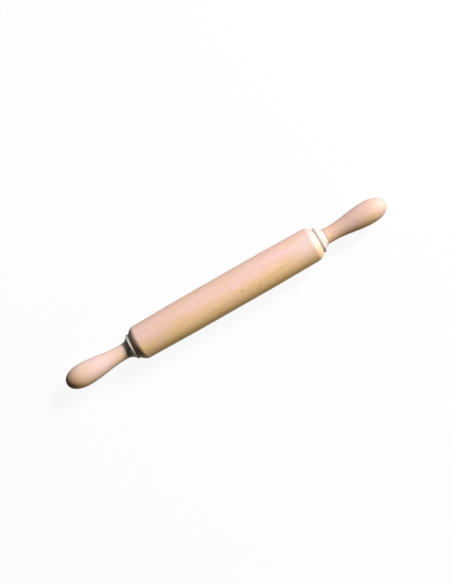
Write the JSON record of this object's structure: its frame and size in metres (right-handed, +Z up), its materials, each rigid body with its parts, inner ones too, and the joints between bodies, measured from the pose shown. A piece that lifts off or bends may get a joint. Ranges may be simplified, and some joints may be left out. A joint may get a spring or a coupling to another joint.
{
  "type": "rolling pin",
  "caption": "Slim wooden rolling pin for dough: a turned barrel with waisted bulb handles and pale collars, all turning freely on a steel rod through the middle.",
  "frame": {"origin": "the middle of the pin, on the axis that the barrel and both handles turn about", "axes": "+X along the pin's axis towards the right handle, +Z up out of the barrel's upper side, +Y away from someone who holds a handle in each hand"},
  "size_m": [0.5, 0.051, 0.051],
  "materials": {
    "barrel_beech": "satin, pale pinkish beech",
    "handle_beech": "satin, pale pinkish beech",
    "plug_beech": "satin, slightly darker than the handle",
    "collar_nylon": "off-white moulded nylon, soft gloss",
    "bush_nylon": "off-white moulded nylon",
    "rod_steel": "bright drawn steel",
    "washer_steel": "zinc plated",
    "nut_steel": "zinc plated"
  },
  "bodies": {
    "barrel": {"barrel": "barrel_beech", "left_bush": "bush_nylon", "right_bush": "bush_nylon"},
    "axle": {"axle_rod": "rod_steel", "left_thrust_washer": "washer_steel", "right_thrust_washer": "washer_steel", "left_end_washer": "washer_steel", "right_end_washer": "washer_steel", "left_lock_nut": "nut_steel", "right_lock_nut": "nut_steel"},
    "left_handle": {"left_handle": "handle_beech", "left_collar": "collar_nylon", "left_end_plug": "plug_beech"},
    "right_handle": {"right_handle": "handle_beech", "right_collar": "collar_nylon", "right_end_plug": "plug_beech"}
  },
  "joints": [
    {"name": "axle_spin", "type": "hinge", "parent": "barrel", "child": "axle", "pos_m": [0, 0, 0], "axis": [1, 0, 0], "continuous": true},
    {"name": "left_handle_spin", "type": "hinge", "parent": "axle", "child": "left_handle", "pos_m": [-0.2, 0, 0], "axis": [1, 0, 0], "continuous": true},
    {"name": "right_handle_spin", "type": "hinge", "parent": "axle", "child": "right_handle", "pos_m": [0.2, 0, 0], "axis": [1, 0, 0], "continuous": true}
  ]
}
